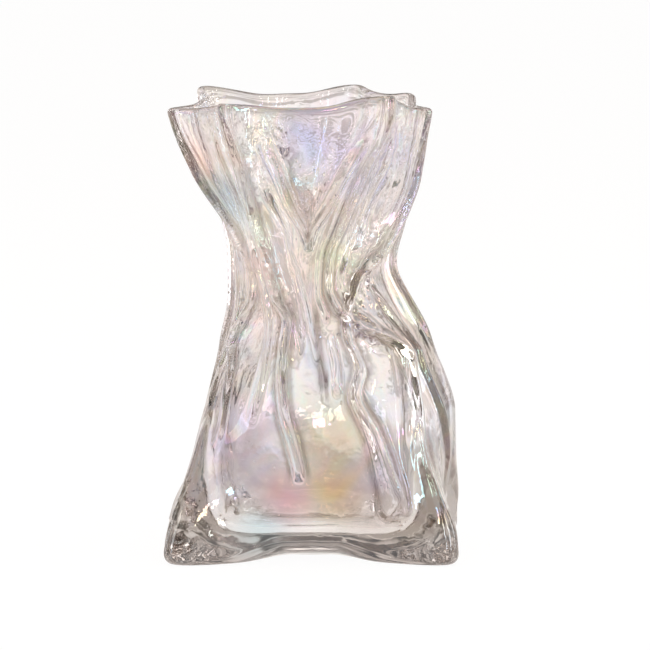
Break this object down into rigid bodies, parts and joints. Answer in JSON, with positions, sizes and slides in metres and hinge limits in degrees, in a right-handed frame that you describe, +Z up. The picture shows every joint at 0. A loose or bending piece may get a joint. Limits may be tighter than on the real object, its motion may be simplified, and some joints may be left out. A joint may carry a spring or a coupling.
{
  "type": "art glass vase",
  "caption": "Free-form blown glass vase like a gathered paper bag: cornered foot, pleated waist and open wavy mouth, with an iridescent lustre over clear glass.",
  "frame": {"origin": "under the middle of the vase's overall width and depth, on the plane its four corner feet stand on", "axes": "+Z up through the open mouth, -Y towards the front panel with the V-shaped folds, +X to the viewer's right"},
  "size_m": [0.1448, 0.126, 0.2249],
  "materials": {
    "clear_glass": "fire-polished clear glass with a faint warm grey in its thickness",
    "lustre": "iridescent metal-oxide lustre, pale pink, lilac, blue and gold by angle"
  },
  "bodies": {
    "root": {"glass_body": "clear_glass", "lustre_coat": "lustre"}
  },
  "joints": []
}
